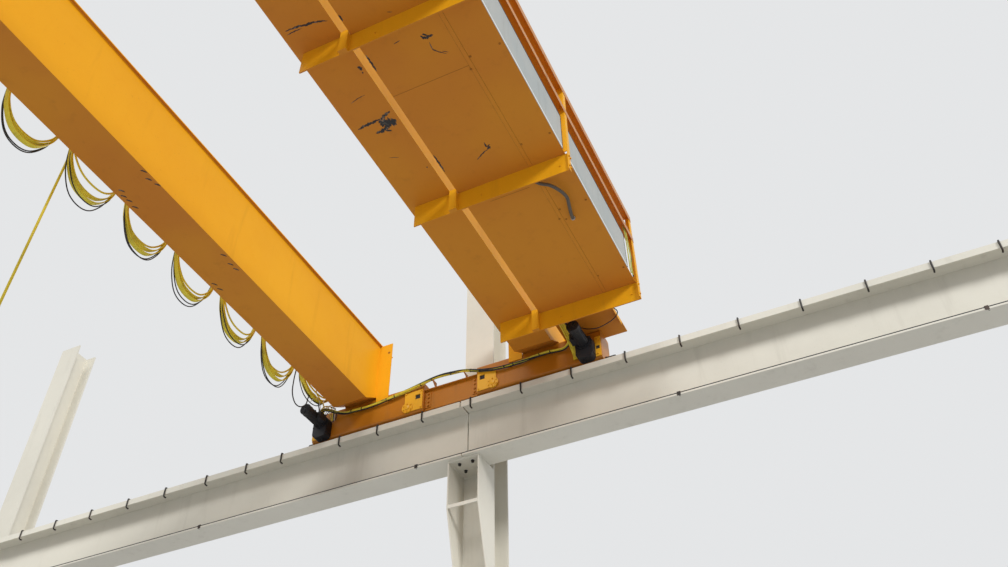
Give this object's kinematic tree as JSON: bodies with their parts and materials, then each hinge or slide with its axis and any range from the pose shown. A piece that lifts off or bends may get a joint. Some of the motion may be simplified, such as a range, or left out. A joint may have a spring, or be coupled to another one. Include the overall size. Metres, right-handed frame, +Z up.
{
  "type": "overhead bridge crane",
  "caption": "Double girder bridge crane with box girders, a side walkway, end trucks, festoon and pendant, on a runway of beams, rails and bracketed columns.",
  "frame": {"origin": "on the floor, in the middle of the plan between the six columns", "axes": "+X along the runway, +Y along the bridge, +Z up"},
  "size_m": [17.02, 15.42, 12.7],
  "materials": {
    "crane_paint": "semi-gloss enamel, dusty",
    "runway_paint": "satin enamel",
    "rail_steel": "worn rolled steel",
    "wheel_steel": "forged, polished tread",
    "panel_white": "matt",
    "drive_black": "satin",
    "buffer_rubber": "matt",
    "galvanised": "galvanised",
    "cable_yellow": "cable sheath",
    "station_plastic": "moulded"
  },
  "bodies": {
    "runway": {"columns_far": "runway_paint", "columns_near": "runway_paint", "base_plates": "runway_paint", "brackets_far": "runway_paint", "brackets_near": "runway_paint", "runway_beam_far": "runway_paint", "runway_beam_near": "runway_paint", "runway_cap_far": "runway_paint", "runway_cap_near": "runway_paint", "crane_rails": "rail_steel", "tie_backs": "runway_paint", "end_stops": "runway_paint"},
    "bridge": {"left_girder": "crane_paint", "right_girder": "crane_paint", "girder_end_plates": "crane_paint", "end_stiffeners": "crane_paint", "trolley_rails": "rail_steel", "walkway_floor": "crane_paint", "walkway_beams": "crane_paint", "rail_posts": "crane_paint", "hand_rails": "crane_paint", "side_panels": "panel_white", "landings": "crane_paint", "trucks_far": "crane_paint", "trucks_near": "crane_paint", "tie_beams": "crane_paint", "bearing_plates": "crane_paint", "bearing_caps": "crane_paint", "gear_units": "drive_black", "drive_motors": "drive_black", "buffers": "buffer_rubber", "festoon_track": "galvanised", "festoon_carriers": "galvanised", "festoon_cables": "cable_yellow", "truck_cables": "cable_yellow", "pendant_cable": "cable_yellow", "pendant_station": "station_plastic"},
    "wheel_1": {"wheel_1": "wheel_steel"},
    "wheel_2": {"wheel_2": "wheel_steel"},
    "wheel_3": {"wheel_3": "wheel_steel"},
    "wheel_4": {"wheel_4": "wheel_steel"},
    "wheel_5": {"wheel_5": "wheel_steel"},
    "wheel_6": {"wheel_6": "wheel_steel"},
    "wheel_7": {"wheel_7": "wheel_steel"},
    "wheel_8": {"wheel_8": "wheel_steel"}
  },
  "joints": [
    {"name": "bridge_travel", "type": "slide", "parent": "runway", "child": "bridge", "axis": [1, 0, 0], "range_m": [-5.975, 6.365]},
    {"name": "roll_1", "type": "hinge", "parent": "bridge", "child": "wheel_1", "pos_m": [-2.015, 6.93, 8.7253], "axis": [0, 1, 0], "continuous": true},
    {"name": "roll_2", "type": "hinge", "parent": "bridge", "child": "wheel_2", "pos_m": [-0.785, 6.93, 8.7253], "axis": [0, 1, 0], "continuous": true},
    {"name": "roll_3", "type": "hinge", "parent": "bridge", "child": "wheel_3", "pos_m": [0.395, 6.93, 8.7253], "axis": [0, 1, 0], "continuous": true},
    {"name": "roll_4", "type": "hinge", "parent": "bridge", "child": "wheel_4", "pos_m": [1.625, 6.93, 8.7253], "axis": [0, 1, 0], "continuous": true},
    {"name": "roll_5", "type": "hinge", "parent": "bridge", "child": "wheel_5", "pos_m": [-2.015, -6.93, 8.7253], "axis": [0, 1, 0], "continuous": true},
    {"name": "roll_6", "type": "hinge", "parent": "bridge", "child": "wheel_6", "pos_m": [-0.785, -6.93, 8.7253], "axis": [0, 1, 0], "continuous": true},
    {"name": "roll_7", "type": "hinge", "parent": "bridge", "child": "wheel_7", "pos_m": [0.395, -6.93, 8.7253], "axis": [0, 1, 0], "continuous": true},
    {"name": "roll_8", "type": "hinge", "parent": "bridge", "child": "wheel_8", "pos_m": [1.625, -6.93, 8.7253], "axis": [0, 1, 0], "continuous": true}
  ],
  "couplings": [
    {"joint": "roll_1", "follows": "bridge_travel", "rad_per_m": 8},
    {"joint": "roll_2", "follows": "bridge_travel", "rad_per_m": 8},
    {"joint": "roll_3", "follows": "bridge_travel", "rad_per_m": 8},
    {"joint": "roll_4", "follows": "bridge_travel", "rad_per_m": 8},
    {"joint": "roll_5", "follows": "bridge_travel", "rad_per_m": 8},
    {"joint": "roll_6", "follows": "bridge_travel", "rad_per_m": 8},
    {"joint": "roll_7", "follows": "bridge_travel", "rad_per_m": 8},
    {"joint": "roll_8", "follows": "bridge_travel", "rad_per_m": 8}
  ]
}
